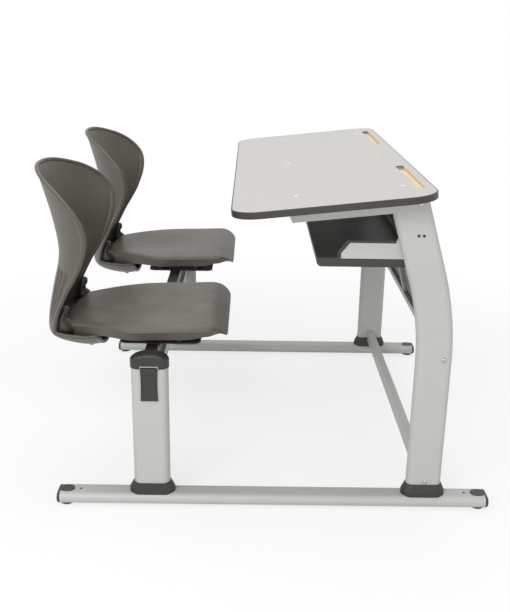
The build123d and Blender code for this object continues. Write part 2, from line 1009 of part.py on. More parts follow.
def release_paddle(side):
    """Waisted plate with a thumb hollow, a boss on the pin and a clamping nub."""
    back_y = column_face_y + paddle_gap
    left = column_x - paddle_width / 2
    right = column_x + paddle_width / 2
    mid_z = (paddle_top_z + paddle_foot_z) / 2
    boss_half = housing_width / 2 - cheek - running
    nub_reach = back_y - rail_y - post_depth / 2 - running
    thumb_z = paddle_foot_z + thumb_from_bottom + thumb_height / 2
    thumb_radius = (thumb_height**2 / 4 + thumb_depth**2) / (2 * thumb_depth)
    thumb_y = back_y + paddle_thickness + thumb_radius - thumb_depth
    with BuildPart() as paddle:
        with BuildSketch(side_plane(side * back_y)):
            with BuildLine():
                Line((left, paddle_top_z), (right, paddle_top_z))
                ThreePointArc((right, paddle_top_z), (right - paddle_waist, mid_z), (right, paddle_foot_z))
                Line((right, paddle_foot_z), (left, paddle_foot_z))
                ThreePointArc((left, paddle_foot_z), (left + paddle_waist, mid_z), (left, paddle_top_z))
            make_face()
        extrude(amount=-side * paddle_thickness)
        front = paddle.faces().sort_by(Axis.Y)[0 if side < 0 else -1]
        fillet(front.edges(), paddle_round)
        back = paddle.faces().sort_by(Axis.Y)[-1 if side < 0 else 0]
        chamfer(back.edges().sort_by(Axis.Z)[-1], paddle_chamfer)
        with BuildSketch(end_plane(column_x, side * thumb_y)):
            with Locations((0, thumb_z)):
                Circle(thumb_radius)
        extrude(amount=paddle_width / 2 - overrun, both=True, mode=Mode.SUBTRACT)
        with BuildSketch(end_plane(column_x, side * pin_y)):
            with Locations((0, pin_z)):
                Circle(paddle_boss / 2)
            with Locations((side * (paddle_pin_inset + paddle_gap) / 2, pin_z)):
                Rectangle(paddle_pin_inset + paddle_gap, paddle_boss)
        extrude(amount=boss_half, both=True)
        with BuildSketch(side_plane(side * back_y)):
            with Locations((column_x, pin_z - nub_below_pin)):
                Rectangle(nub_width, nub_height, align=(Align.CENTER, Align.MAX))
        extrude(amount=side * nub_reach)
        with BuildSketch(end_plane(column_x, side * pin_y)):
            with Locations((0, pin_z)):
                Circle(paddle_pin / 2 + pin_running)
        extrude(amount=paddle_width, both=True, mode=Mode.SUBTRACT)
    return paddle


# Seat brackets, pans and backrests, built on the middle line and then placed


def seat_screw_places():
    """A bracket's four screws, in X from the rails' middle and Y from its seat."""
    xs = (seat_screw_mid - seat_screw_x, seat_screw_mid + seat_screw_x)
    return [(x, y) for x in xs for y in (-seat_screw_y, seat_screw_y)]


def back_screw_places():
    return [(back_screw_x, -back_screw_y), (back_screw_x, back_screw_y)]


def seat_bracket():
    """Plate on top of the beam, with two walls that straddle it."""
    with BuildPart() as bracket:
        with BuildSketch(plan_plane(beam_top)):
            with Locations((seat_plate_x, 0)):
                RectangleRounded(seat_plate_length, seat_plate_width, seat_plate_corner)
        extrude(amount=seat_plate_thickness)
        with BuildSketch(plan_plane(beam_top)):
            saddle_x = beam_width / 2 + saddle_wall / 2
            with Locations((column_x - saddle_x, 0), (column_x + saddle_x, 0)):
                Rectangle(saddle_wall, saddle_length)
        extrude(amount=-saddle_drop)
        with Locations(plan_plane(seat_plate_top)):
            with Locations(*seat_screw_places()):
                Hole(seat_screw / 2 + fit)
    return bracket


def pan_outline(inset):
    """A seat pan's outline from above, drawn in by the inset."""
    half = [
        (pan_rear, pan_rear_half),
        (pan_rear + pan_turn_run, pan_turn_half),
        (pan_rear + pan_side_run, pan_half_width),
        (pan_front, pan_half_width),
    ]
    other_half = [(x, -y) for x, y in reversed(half)]
    rounds = [pan_rear_round, pan_turn_round, pan_side_round, pan_corner]
    with BuildSketch() as outline:
        with BuildLine():
            Polyline(*half, *other_half, close=True)
        make_face()
        for rank in (3, 2, 1, 0):
            fillet(outline.vertices().group_by(Axis.X)[rank], rounds[rank])
        if inset:
            offset(amount=-inset, kind=Kind.INTERSECTION)
    return outline.sketch


def pan_form(inset, lower, foot_z):
    """Solid under a seat's surface: lowered, drawn in, down to the foot level."""
    crest = pan_crest - lower
    shoulder_x = pan_front - pan_roll
    nose_x = pan_front + overrun
    front_z = crest - pan_roll_drop
    dish_z = crest - pan_dish_depth + pan_dish_radius
    outline = pan_outline(inset)
    with BuildPart() as form:
        with BuildSketch(plan_plane(foot_z)):
            add(outline)
        extrude(amount=pan_crest - foot_z + overrun)
        with BuildSketch(side_plane(0)):
            with BuildLine():
                top = ThreePointArc(
                    (pan_rear, crest - pan_rear_drop), (pan_dish_x, crest - pan_middle_drop), (shoulder_x, crest)
                )
                TangentArc((shoulder_x, crest), (nose_x, front_z), tangent=top % 1)
                Polyline((nose_x, front_z), (nose_x, foot_z), (pan_rear, foot_z))
                Line((pan_rear, foot_z), (pan_rear, crest - pan_rear_drop))
            make_face()
        extrude(amount=pan_half_width + overrun, both=True, mode=Mode.INTERSECT)
    with BuildPart() as dish:
        with Locations((mid_x + pan_dish_x, 0, dish_z)):
            Sphere(pan_dish_radius, rotation=(90, 0, 0))
    with BuildPart() as dished:
        add(form.part)
        add(dish.part, mode=Mode.SUBTRACT)
    return dished.part


def pan_scallops():
    """Shallow bites along the pan's rear edge."""
    with BuildPart() as bites:
        with BuildSketch(plan_plane(pan_foot - overrun)):
            with Locations((pan_rear + scallop_depth - scallop_radius, 0)):
                with GridLocations(scallop_pitch, scallop_pitch, 1, 3):
                    Circle(scallop_radius)
        extrude(amount=pan_lip + 2 * overrun)
    return bites.part


def pan_bosses():
    """Bosses down to the bracket plate and, behind, to the hull of the back."""
    under = pan_form(pan_wall / 2, pan_wall / 2, seat_plate_top)
    deep = pan_form(pan_wall / 2, pan_wall / 2, back_foot - hull_drop)
    hull = hull_form(back_wall + fit)
    with BuildPart() as front_bosses:
        with BuildSketch(plan_plane(seat_plate_top)):
            with Locations(*seat_screw_places()):
                Circle(boss_diameter / 2)
        extrude(amount=pan_crest - seat_plate_top)
        add(under, mode=Mode.INTERSECT)
    with BuildPart() as rear_bosses:
        with BuildSketch(plan_plane(back_foot - hull_drop)):
            with Locations(*back_screw_places()):
                Circle(boss_diameter / 2)
        extrude(amount=pan_crest - back_foot + hull_drop)
        add(deep, mode=Mode.INTERSECT)
        add(hull, mode=Mode.INTERSECT)
    return [front_bosses.part, rear_bosses.part]


def seat_pan():
    outer = pan_form(0, 0, pan_foot)
    inner = pan_form(pan_wall, pan_wall, pan_foot - overrun)
    bosses = pan_bosses()
    scallops = pan_scallops()
    with BuildPart() as pan:
        add(outer)
        add(inner, mode=Mode.SUBTRACT)
        add(bosses)
        add(scallops, mode=Mode.SUBTRACT)
        with BuildSketch(plan_plane(seat_plate_top)):
            with Locations(*seat_screw_places()):
                Circle(seat_screw / 2 + fit)
        extrude(amount=seat_screw_bite, mode=Mode.SUBTRACT)
        with BuildSketch(plan_plane(back_screw_z)):
            with Locations(*back_screw_places()):
                Circle(seat_screw / 2 + fit)
        extrude(amount=back_wall + seat_screw_bite, mode=Mode.SUBTRACT)
    return pan


def back_form(inward):
    """Solid in front of the backrest's rear surface, moved in by the wall."""
    half = back_form_half
    with BuildPart() as form:
        for step, (setback, curve) in enumerate(spine_shares):
            level = (step - 2) / spine_steps
            nose = back_waist * setback - back_reach + back_bead_rise + inward
            radius = back_curve * curve - inward
            wing = nose + radius - sqrt(radius**2 - half**2)
            with BuildSketch(plan_plane(back_foot + back_height * level)):
                with BuildLine():
                    ThreePointArc((wing, -half), (nose, 0), (wing, half))
                    Polyline((wing, half), (back_form_front, half), (back_form_front, -half), (wing, -half))
                make_face()
        loft()
    return form.part


def hull_form(inward):
    """Solid above the hull's lower surface, moved up by the wall."""
    half = back_form_half
    run = back_reach + hull_front
    radius = hull_curve - inward
    rise = radius - sqrt(radius**2 - half**2)
    with BuildPart() as form:
        for setback, drop in keel_shares:
            keel = back_foot - hull_drop * drop + inward
            with BuildSketch(end_plane(hull_front - run * setback)):
                with BuildLine():
                    ThreePointArc((-half, keel + rise), (0, keel), (half, keel + rise))
                    Polyline((half, keel + rise), (half, back_top), (-half, back_top), (-half, keel + rise))
                make_face()
        loft()
    return form.part


def arch_outline(inset):
    """Front outline of the backrest and its hull, drawn in by the inset."""
    half = back_half_width - inset
    top_z = back_top - inset
    points = [(half * across, back_foot + (top_z - back_foot) * up) for across, up in arch_shares]
    foot = (half * arch_foot_shares[0], back_foot + back_height * arch_foot_shares[1])
    low_z = back_foot - 2 * hull_drop
    with BuildSketch(end_plane(hull_front)) as outline:
        with BuildLine():
            Spline((0, top_z), *points, foot, tangents=((1, 0), (0, -1)))
            Polyline(foot, (foot[0], low_z), (0, low_z))
            mirror(about=Plane.YZ)
        make_face()
    return outline.sketch


def back_layer(rear, front):
    """Curved layer between two depths, counted in from the rear surface."""
    rear_forms = [back_form(rear), hull_form(rear)]
    front_forms = [back_form(front), hull_form(front)]
    with BuildPart() as outer:
        add(rear_forms[0])
        add(rear_forms[1], mode=Mode.INTERSECT)
    with BuildPart() as inner:
        add(front_forms[0])
        add(front_forms[1], mode=Mode.INTERSECT)
    with BuildPart() as layer:
        add(outer.part)
        add(inner.part, mode=Mode.SUBTRACT)
    return layer.part


def seat_back():
    """Backrest shell with a bead round its rim and a hull under the seat."""
    wall = back_layer(0, back_wall)
    thick = back_layer(-back_bead_rise, back_wall + back_bead_rise)
    outline = arch_outline(0)
    inset_outline = arch_outline(back_bead)
    with BuildPart() as bead:
        add(outline)
        extrude(amount=back_reach, dir=(-1, 0, 0))
        add(inset_outline)
        extrude(amount=back_reach, dir=(-1, 0, 0), mode=Mode.SUBTRACT)
        add(thick, mode=Mode.INTERSECT)
    with BuildPart() as back:
        add(outline)
        extrude(amount=back_reach, dir=(-1, 0, 0))
        add(wall, mode=Mode.INTERSECT)
        add(bead.part)
        with BuildSketch(plan_plane(back_screw_z)):
            with Locations(*back_screw_places()):
                Circle(seat_screw_head / 2 + running)
        extrude(amount=-hull_drop, mode=Mode.SUBTRACT)
        with BuildSketch(plan_plane(back_screw_z)):
            with Locations(*back_screw_places()):
                Circle(seat_screw / 2 + fit)
        extrude(amount=2 * back_wall, mode=Mode.SUBTRACT)
    return back


def back_clips():
    """Blocks that join the backrest's neck to the rear of the pan."""
    depth = back_wall + back_bead_rise + fit
    clear_of = [back_form(depth), hull_form(depth)]
    pan = pan_form(0, 0, pan_foot)
    middle = clip_inner + clip_thickness / 2
    with BuildPart() as clips:
        for hand in (-1, 1):
            with BuildSketch(side_plane(hand * middle)):
                with Locations(((clip_rear + clip_front) / 2, clip_foot + clip_height / 2)):
                    Rectangle(clip_front - clip_rear, clip_height)
            extrude(amount=clip_thickness / 2, both=True)
        for form in clear_of:
            add(form, mode=Mode.INTERSECT)
        add(pan, mode=Mode.SUBTRACT)
    return clips


def under_plane(x, y, z):
    """Plane that faces down, for a screw driven up from below."""
    return Plane(origin=(mid_x + x, y, z), x_dir=(1, 0, 0), z_dir=(0, 0, -1))


def seat_screws():
    reach = seat_plate_thickness + seat_screw_bite
    screws = []
    for side in sides.values():
        for x, y in seat_screw_places():
            place = under_plane(x, side * seat_y + y, beam_top)
            screws.append(screw(place, seat_screw_head, seat_screw_rise, seat_screw, reach))
    return gather(screws)


def back_screws():
    reach = back_wall + seat_screw_bite
    screws = []
    for side in sides.values():
        for x, y in back_screw_places():
            place = under_plane(x, side * seat_y + y, back_screw_z)
            screws.append(screw(place, seat_screw_head, seat_screw_rise, seat_screw, reach))
    return gather(screws)


# The whole desk, piece by piece

bracket = seat_bracket()
pan = seat_pan()
back = seat_back()
clips = back_clips()
for place, side in sides.items():
    save(floor_rail(side), f"{place}_floor_rail")
    for end_name, end in ends.items():
        save(rail_cap(side, end), f"{place}_{end_name}_rail_cap")
    save(seat_column(side), f"{place}_seat_column")
    save(
        collar(side, column_x, column_width, column_depth, collar_height, collar_spread, collar_swell),
        f"{place}_column_collar",
    )
    save(desk_leg(side), f"{place}_desk_leg")
    save(leg_collar(side), f"{place}_leg_collar")
    save(top_arm(side), f"{place}_top_arm")
    save(tray_bracket(side), f"{place}_tray_bracket")
    save(guide_bushes(side), f"{place}_guide_bushes")
    save(latch_housing(side), f"{place}_latch_housing")
    save(paddle_pin_rod(side), f"{place}_paddle_pin")
    save(release_paddle(side), f"{place}_release_paddle")
    save(inner_post(side), f"{place}_inner_post")
    save(post_shoe(side), f"{place}_post_shoe")
    save(post_head(side), f"{place}_post_head")
    save(placed(bracket, side * seat_y), f"{place}_seat_bracket")
    save(placed(pan, side * seat_y), f"{place}_seat_pan")
    save(placed(back, side * seat_y), f"{place}_seat_back")
    save(placed(clips, side * seat_y), f"{place}_back_clips")

brace_z = column_top - brace_below_top + brace_height / 2
brace_half = rail_y - column_depth / 2
save(cross_tube(column_x, brace_z, brace_width, brace_height, brace_wall, brace_half), "column_brace")
save(
    cross_tube(
        stretcher_x, stretcher_z, stretcher_width, stretcher_height, beam_wall, leg_inner_y, beam_plug
    ),
    "leg_stretcher",
)
save(
    cross_tube(
        crossbeam_x, crossbeam_z, crossbeam_width, crossbeam_height, beam_wall, leg_inner_y, beam_plug
    ),
    "desk_crossbeam",
)
save(tray_strut(), "tray_strut")
save(modesty_panel(), "modesty_panel")
save(book_tray(), "book_tray")
save(top_rail(front_rail_inset, front_rail_width, 0), "front_top_rail")
save(top_rail(rear_rail_inset, rear_rail_width, beam_plug), "rear_top_rail")
save(desk_board(), "desk_board")
save(board_edge_band(), "board_edge_band")
save(board_bolts(), "board_bolts")
save(board_nuts(), "board_nuts")
save(leg_screws(), "leg_screws")
save(tray_screws(), "tray_screws")
save(tray_nuts(), "tray_nuts")
beam_z = beam_top - beam_height / 2
save(cross_tube(column_x, beam_z, beam_width, beam_height, beam_tube_wall, head_inner_y), "seat_beam")
save(seat_screws(), "seat_screws")
save(back_screws(), "back_screws")
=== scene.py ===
import bpy
import bmesh
import json
from math import cos, hypot, pi, radians, sin, sqrt
from mathutils import Matrix, Vector


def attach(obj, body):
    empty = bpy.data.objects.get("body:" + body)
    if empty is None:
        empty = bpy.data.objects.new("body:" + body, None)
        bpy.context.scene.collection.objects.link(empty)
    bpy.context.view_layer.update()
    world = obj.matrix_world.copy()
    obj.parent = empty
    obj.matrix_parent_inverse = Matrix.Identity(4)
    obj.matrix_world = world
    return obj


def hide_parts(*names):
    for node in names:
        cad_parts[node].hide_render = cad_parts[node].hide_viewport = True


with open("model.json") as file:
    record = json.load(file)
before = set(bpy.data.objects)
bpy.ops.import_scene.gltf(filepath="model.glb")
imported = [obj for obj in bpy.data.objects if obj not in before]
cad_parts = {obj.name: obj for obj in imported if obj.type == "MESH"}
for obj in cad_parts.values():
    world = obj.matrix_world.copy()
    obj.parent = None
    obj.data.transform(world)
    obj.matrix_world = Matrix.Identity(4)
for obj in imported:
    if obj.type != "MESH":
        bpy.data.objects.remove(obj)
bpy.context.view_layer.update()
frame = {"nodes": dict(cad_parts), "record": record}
nodes = frame["nodes"]

# Sizes shared with the desk's frame, in metres
MM = 0.001
RAILS_MIDDLE = 0.024
SEAT_Y = 0.320
BOARD_FRONT = -0.1095 + RAILS_MIDDLE
BOARD_FRONT_Z = 0.7618
BOARD_TILT = radians(6.3)
BOARD_DEPTH = 0.460
GROOVE_INSET = 0.0315
GROOVE_WIDTH = 0.019
GROOVE_MIDDLE = 0.355
GROOVE_HALF = 0.155

# The photograph's camera in metres and radians, and its lens in the photograph's pixels
CAMERA_PLACE = (-0.0428, -2.3852, 1.1606)
CAMERA_YAW, CAMERA_PITCH, CAMERA_ROLL = 0.0078, 0.3267, 0.0159
LENS_PIXELS, PHOTO_WIDTH = 845, 510
SENSOR_WIDTH = 36
FARTHEST_SEEN = 200

# Light from all round, and the floor's tones: as it lights the desk, and as it is seen
ROUND_LIGHT = 0.36
FLOOR_LIGHTING, FLOOR_SHADED, FLOOR_GLOW = 0.8, 0.28, 0.74
PAPER_WHITE = 1.0
FLOOR_HALF = 60
WHITE_STARTS, WHITE_FULL = 0.9, 2.0

# Lamps: name, place, the point that it faces, size and watts
LAMPS = [
    ("window_light", (-1.5, -3.6, 2.9), (0.0, 0.0, 0.4), (2.6, 2.2), 92),
    ("ceiling_light", (-0.2, 0.3, 3.6), (0.0, 0.0, 0.4), (3.0, 3.0), 46),
    ("side_fill", (3.4, -2.0, 1.6), (0.2, 0.0, 0.5), (1.6, 1.6), 9),
    ("low_fill", (0.1, -3.8, 0.8), (0.0, 0.0, 0.15), (2.6, 0.9), 10),
]


# Nodes of a material, a world or an effect


def feed(tree, socket, value):
    """Link another node's output to a socket, or set the socket to a plain value."""
    if isinstance(value, bpy.types.NodeSocket):
        tree.links.new(value, socket)
    else:
        socket.default_value = value


def add_node(tree, kind, inputs=None, **settings):
    """A node with its settings, and with the inputs that are given fed."""
    made = tree.nodes.new(kind)
    for name, value in settings.items():
        setattr(made, name, value)
    for label, value in (inputs or {}).items():
        feed(tree, made.inputs[label], value)
    return made


def maths(tree, operation, *values):
    return add_node(tree, "ShaderNodeMath", dict(enumerate(values)), operation=operation).outputs[0]


def object_place(tree):
    return add_node(tree, "ShaderNodeTexCoord").outputs["Object"]


def noise(tree, place, scale, detail, roughness=0.5):
    settings = {"Vector": place, "Scale": scale, "Detail": detail, "Roughness": roughness}
    return add_node(tree, "ShaderNodeTexNoise", settings).outputs["Fac"]


def smooth_step(tree, value, low, high, most=1.0):
    """0 up to one value, the most from another on, and a smooth step between them."""
    limits = {"Value": value, "From Min": low, "From Max": high, "To Max": most}
    return add_node(tree, "ShaderNodeMapRange", limits, interpolation_type="SMOOTHSTEP").outputs["Result"]


# Camera, floor and studio light


def photo_camera():
    level = cos(CAMERA_PITCH)
    ahead = Vector((sin(CAMERA_YAW) * level, cos(CAMERA_YAW) * level, -sin(CAMERA_PITCH)))
    right = Vector((cos(CAMERA_YAW), -sin(CAMERA_YAW), 0))
    down = ahead.cross(right)
    across = cos(CAMERA_ROLL) * right - sin(CAMERA_ROLL) * down
    below = sin(CAMERA_ROLL) * right + cos(CAMERA_ROLL) * down
    lens = bpy.data.cameras.new("photo_camera")
    lens.sensor_fit = "HORIZONTAL"
    lens.sensor_width = SENSOR_WIDTH
    lens.lens = LENS_PIXELS / PHOTO_WIDTH * SENSOR_WIDTH
    lens.clip_end = FARTHEST_SEEN
    camera = bpy.data.objects.new("photo_camera", lens)
    turn = Matrix((across, -below, -ahead)).transposed()
    camera.matrix_world = Matrix.Translation(CAMERA_PLACE) @ turn.to_4x4()
    bpy.context.scene.collection.objects.link(camera)
    bpy.context.scene.camera = camera


def soft_lamp(name, place, target, size, watts):
    lamp = bpy.data.lights.new(name, "AREA")
    lamp.shape = "RECTANGLE"
    lamp.size, lamp.size_y = size
    lamp.energy = watts
    stand = bpy.data.objects.new(name, lamp)
    stand.location = place
    stand.rotation_euler = (Vector(target) - Vector(place)).to_track_quat("-Z", "Y").to_euler()
    bpy.context.scene.collection.objects.link(stand)


def grey(level):
    return (level, level, level, 1)


def seen_directly(tree):
    """1 where the camera, a gloss or a clear surface looks, 0 for the light that a surface sheds."""
    path = add_node(tree, "ShaderNodeLightPath").outputs
    seen = maths(tree, "MAXIMUM", path["Is Camera Ray"], path["Is Glossy Ray"])
    return maths(tree, "MAXIMUM", seen, path["Is Transmission Ray"])


def mixed_shader(tree, mask, below, above):
    return add_node(tree, "ShaderNodeMixShader", {0: mask, 1: below, 2: above}).outputs[0]


def studio_world():
    world = bpy.data.worlds.new("studio")
    bpy.context.scene.world = world
    world.use_nodes = True
    tree = world.node_tree
    tree.nodes.clear()
    fill = add_node(tree, "ShaderNodeBackground", {"Color": grey(1), "Strength": ROUND_LIGHT})
    paper = add_node(tree, "ShaderNodeBackground", {"Color": grey(1), "Strength": PAPER_WHITE})
    light = mixed_shader(tree, seen_directly(tree), fill.outputs[0], paper.outputs[0])
    add_node(tree, "ShaderNodeOutputWorld", {"Surface": light})


def floor_paper():
    """Paper that shows the desk's shadow near the desk, and fades to white further out."""
    paper = bpy.data.materials.new("floor_paper")
    paper.use_nodes = True
    tree = paper.node_tree
    tree.nodes.clear()
    lighting = add_node(tree, "ShaderNodeBsdfDiffuse", {"Color": grey(FLOOR_LIGHTING)})
    shaded = add_node(tree, "ShaderNodeBsdfDiffuse", {"Color": grey(FLOOR_SHADED)})
    glow = add_node(tree, "ShaderNodeEmission", {"Strength": FLOOR_GLOW})
    white = add_node(tree, "ShaderNodeEmission", {"Strength": PAPER_WHITE})
    near = add_node(tree, "ShaderNodeAddShader", {0: shaded.outputs[0], 1: glow.outputs[0]})
    place = add_node(tree, "ShaderNodeNewGeometry").outputs["Position"]
    reach = add_node(tree, "ShaderNodeVectorMath", {0: place}, operation="LENGTH")
    fade = smooth_step(tree, reach.outputs["Value"], WHITE_STARTS, WHITE_FULL)
    seen = mixed_shader(tree, fade, near.outputs[0], white.outputs[0])
    surface = mixed_shader(tree, seen_directly(tree), lighting.outputs[0], seen)
    add_node(tree, "ShaderNodeOutputMaterial", {"Surface": surface})
    return paper


def studio_floor():
    corners = [(FLOOR_HALF * x, FLOOR_HALF * y, 0) for x, y in ((-1, -1), (1, -1), (1, 1), (-1, 1))]
    mesh = bpy.data.meshes.new("floor")
    mesh.from_pydata(corners, [], [(0, 1, 2, 3)])
    mesh.materials.append(floor_paper())
    floor = bpy.data.objects.new("floor", mesh)
    bpy.context.scene.collection.objects.link(floor)


bpy.context.scene.view_settings.view_transform = "Standard"
photo_camera()
studio_world()
studio_floor()
for lamp_settings in LAMPS:
    soft_lamp(*lamp_settings)


# Effects that several finishes share

FLOAT = "NodeSocketFloat"
COLOUR = "NodeSocketColor"
VECTOR = "NodeSocketVector"


def effect(name, inputs, outputs):
    """An empty node group with its named inputs and outputs."""
    group = bpy.data.node_groups.new(name, "ShaderNodeTree")
    for label, kind, value in inputs:
        socket = group.interface.new_socket(label, in_out="INPUT", socket_type=kind)
        socket.default_value = value
    for label, kind in outputs:
        group.interface.new_socket(label, in_out="OUTPUT", socket_type=kind)
    entry = add_node(group, "NodeGroupInput")
    result = add_node(group, "NodeGroupOutput")
    return group, entry.outputs, result.inputs


def build_grain():
    """Fine pits and a slow mottle: powder paint, moulded plastic, laminate."""
    inputs = [
        ("Colour", COLOUR, (0.5, 0.5, 0.5, 1)),
        ("Pit Scale", FLOAT, 900.0),
        ("Mottle Scale", FLOAT, 9.0),
        ("Mottle", FLOAT, 0.06),
        ("Roughness", FLOAT, 0.45),
        ("Roughness Spread", FLOAT, 0.1),
    ]
    outputs = [("Colour", COLOUR), ("Roughness", FLOAT), ("Height", FLOAT)]
    group, asked, result = effect("fine_grain", inputs, outputs)
    place = object_place(group)
    pits = noise(group, place, asked["Pit Scale"], detail=2)
    cloud = noise(group, place, asked["Mottle Scale"], detail=4)
    swing = maths(group, "SUBTRACT", cloud, 0.5)
    gain = maths(group, "ADD", maths(group, "MULTIPLY", swing, asked["Mottle"]), 1)
    tint = add_node(group, "ShaderNodeVectorMath", {0: asked["Colour"], "Scale": gain}, operation="SCALE")
    feed(group, result["Colour"], tint.outputs["Vector"])
    rough = maths(group, "MULTIPLY_ADD", swing, asked["Roughness Spread"], asked["Roughness"])
    feed(group, result["Roughness"], rough)
    feed(group, result["Height"], pits)
    return group


def build_streaky_wear_grain_and_sheen():
    """Streaky mask, stretched along one direction: wipe marks on the paint, grain in the grooves' wood, and
    painted sheen on the seat plastic.
    """
    inputs = [
        ("Stretch", VECTOR, (40.0, 4.0, 40.0)),
        ("Least", FLOAT, 0.58),
        ("Most", FLOAT, 0.75),
        ("Strength", FLOAT, 0.3),
    ]
    group, asked, result = effect("streaky_wear_grain_and_sheen", inputs, [("Mask", FLOAT)])
    scales = {0: object_place(group), 1: asked["Stretch"]}
    drawn = add_node(group, "ShaderNodeVectorMath", scales, operation="MULTIPLY")
    marks = noise(group, drawn.outputs["Vector"], scale=1, detail=6, roughness=0.6)
    feed(group, result["Mask"], smooth_step(group, marks, asked["Least"], asked["Most"], asked["Strength"]))
    return group


# Dust lies from the steepest face that holds some to the flattest, in patches of the noise
DUST_SLOPE = (0.55, 0.98)
DUST_PATCH = (0.35, 0.7)


def build_dust():
    """Mask of dust that settles in patches on faces that look up."""
    inputs = [("Strength", FLOAT, 0.15), ("Scale", FLOAT, 14.0)]
    group, asked, result = effect("settled_dust", inputs, [("Mask", FLOAT)])
    facing = add_node(group, "ShaderNodeNewGeometry").outputs["Normal"]
    upward = add_node(group, "ShaderNodeSeparateXYZ", {0: facing}).outputs["Z"]
    level = smooth_step(group, upward, *DUST_SLOPE)
    cloud = noise(group, object_place(group), asked["Scale"], detail=5)
    patches = {"Value": cloud, "From Min": DUST_PATCH[0], "From Max": DUST_PATCH[1]}
    patch = add_node(group, "ShaderNodeMapRange", patches)
    dusty = maths(group, "MULTIPLY", level, patch.outputs["Result"])
    feed(group, result["Mask"], maths(group, "MULTIPLY", dusty, asked["Strength"]))
    return group


def build_band():
    """1 where a value lies between two others, and 0 elsewhere."""
    inputs = [("Value", FLOAT, 0.0), ("Low", FLOAT, 0.0), ("High", FLOAT, 1.0)]
    group, asked, result = effect("value_band", inputs, [("Mask", FLOAT)])
    above = maths(group, "GREATER_THAN", asked["Value"], asked["Low"])
    below = maths(group, "LESS_THAN", asked["Value"], asked["High"])
    feed(group, result["Mask"], maths(group, "MULTIPLY", above, below))
    return group


GRAIN = build_grain()
STREAKY_WEAR_GRAIN_AND_SHEEN = build_streaky_wear_grain_and_sheen()
DUST = build_dust()
BAND = build_band()


def place_effect(tree, group, **values):
    """A shared effect, placed in a material with the material's own values."""
    inputs = {label.replace("_", " "): value for label, value in values.items()}
    return add_node(tree, "ShaderNodeGroup", inputs, node_tree=group).outputs


def blend_colour(tree, mask, below, above):
    """One colour laid over another where the mask says."""
    mix = add_node(tree, "ShaderNodeMix", {"Factor": mask}, data_type="RGBA")
    for tone, label in ((below, "A"), (above, "B")):
        socket = [each for each in mix.inputs if each.type == "RGBA" and each.name == label][0]
        feed(tree, socket, tone)
    return [each for each in mix.outputs if each.type == "RGBA"][0]


def hex_colour(code):
    """Colour as written in sRGB, turned to the linear one that nodes take."""
    parts = [int(code[start:start + 2], 16) / 255 for start in (0, 2, 4)]
    linear = [part / 12.92 if part <= 0.04045 else ((part + 0.055) / 1.055) ** 2.4 for part in parts]
    return (*linear, 1)


def grained(
    name, colour, pits, mottle, rough, spread, depth, dust=0.0, dust_colour="c9c6bf", metal=0.0, gloss=0.5
):
    """A finish with fine grain and mottle and, where asked, settled dust.

    pits is the scale of the grain and depth its height in metres, spread is how far the
    mottle moves the roughness, and gloss is the shader's specular level.
    """
    material = bpy.data.materials.new(name)
    material.use_nodes = True
    tree = material.node_tree
    shader = tree.nodes["Principled BSDF"]
    shader.inputs["Metallic"].default_value = metal
    shader.inputs["Specular IOR Level"].default_value = gloss
    grain = place_effect(
        tree, GRAIN, Colour=hex_colour(colour), Pit_Scale=pits, Mottle=mottle,
        Roughness=rough, Roughness_Spread=spread,
    )
    tone = grain["Colour"]
    if dust:
        settled = place_effect(tree, DUST, Strength=dust)["Mask"]
        tone = blend_colour(tree, settled, tone, hex_colour(dust_colour))
    bump = add_node(tree, "ShaderNodeBump", {"Height": grain["Height"], "Distance": depth, "Strength": 1.0})
    feed(tree, shader.inputs["Base Color"], tone)
    feed(tree, shader.inputs["Roughness"], grain["Roughness"])
    feed(tree, shader.inputs["Normal"], bump.outputs["Normal"])
    return material, tree, shader, tone


# Finishes


def silver_paint():
    """Light grey powder paint on tubes, with faint wipe marks."""
    material, tree, shader, tone = grained(
        "silver_grey_paint", "c5c6c1", pits=1400, mottle=0.05, rough=0.42, spread=0.12, depth=0.00003,
        dust=0.05,
    )
    marks = place_effect(tree, STREAKY_WEAR_GRAIN_AND_SHEEN, Stretch=(30.0, 30.0, 5.0), Least=0.56, Most=0.8, Strength=0.25)
    tone = blend_colour(tree, marks["Mask"], tone, hex_colour("b7b8b4"))
    feed(tree, shader.inputs["Base Color"], tone)
    return material


def dark_paint():
    return grained(
        "dark_grey_paint", "3a3733", pits=1100, mottle=0.12, rough=0.45, spread=0.15, depth=0.00004,
        dust=0.06,
    )[0]


def dark_plastic():
    return grained(
        "dark_moulded_plastic", "322f2b", pits=1500, mottle=0.15, rough=0.5, spread=0.15, depth=0.00005,
        dust=0.08,
    )[0]


def pale_plastic():
    return grained(
        "pale_guide_plastic", "c4c2ba", pits=1300, mottle=0.06, rough=0.5, spread=0.1, depth=0.00003,
        dust=0.05,
    )[0]


def shell_plastic():
    """Brown-grey moulded seat plastic with a fine leather-like grain and lighter lines of painted sheen."""
    material, tree, shader, tone = grained(
        "seat_shell_plastic", "59544b", pits=900, mottle=0.05, rough=0.42, spread=0.1, depth=0.00006,
        dust=0.13, dust_colour="a5a094", gloss=0.35,
    )
    # Lighter lines along the seat are painted sheen.
    painted_sheen = place_effect(tree, STREAKY_WEAR_GRAIN_AND_SHEEN, Stretch=(3.0, 90.0, 14.0), Least=0.4, Most=0.8, Strength=0.16)
    tone = blend_colour(tree, painted_sheen["Mask"], tone, hex_colour("7b766c"))
    feed(tree, shader.inputs["Base Color"], tone)
    return material


def banded(tree, value, low, high):
    return place_effect(tree, BAND, Value=value, Low=low, High=high)["Mask"]


def measured(tree, place, direction, start):
    """Distance along a direction, counted from where the given point lies."""
    dot = add_node(tree, "ShaderNodeVectorMath", {0: place, 1: direction}, operation="DOT_PRODUCT")
    return maths(tree, "SUBTRACT", dot.outputs["Value"], sum(a * b for a, b in zip(direction, start)))


# How far the groove's finish reaches past its walls, how deep it goes, and the grey mark at its far end
GROOVE_MARGIN = 0.0004
GROOVE_FINISH_DEPTH = 0.011
END_MARK_LENGTH, END_MARK_MARGIN = 0.016, 0.002


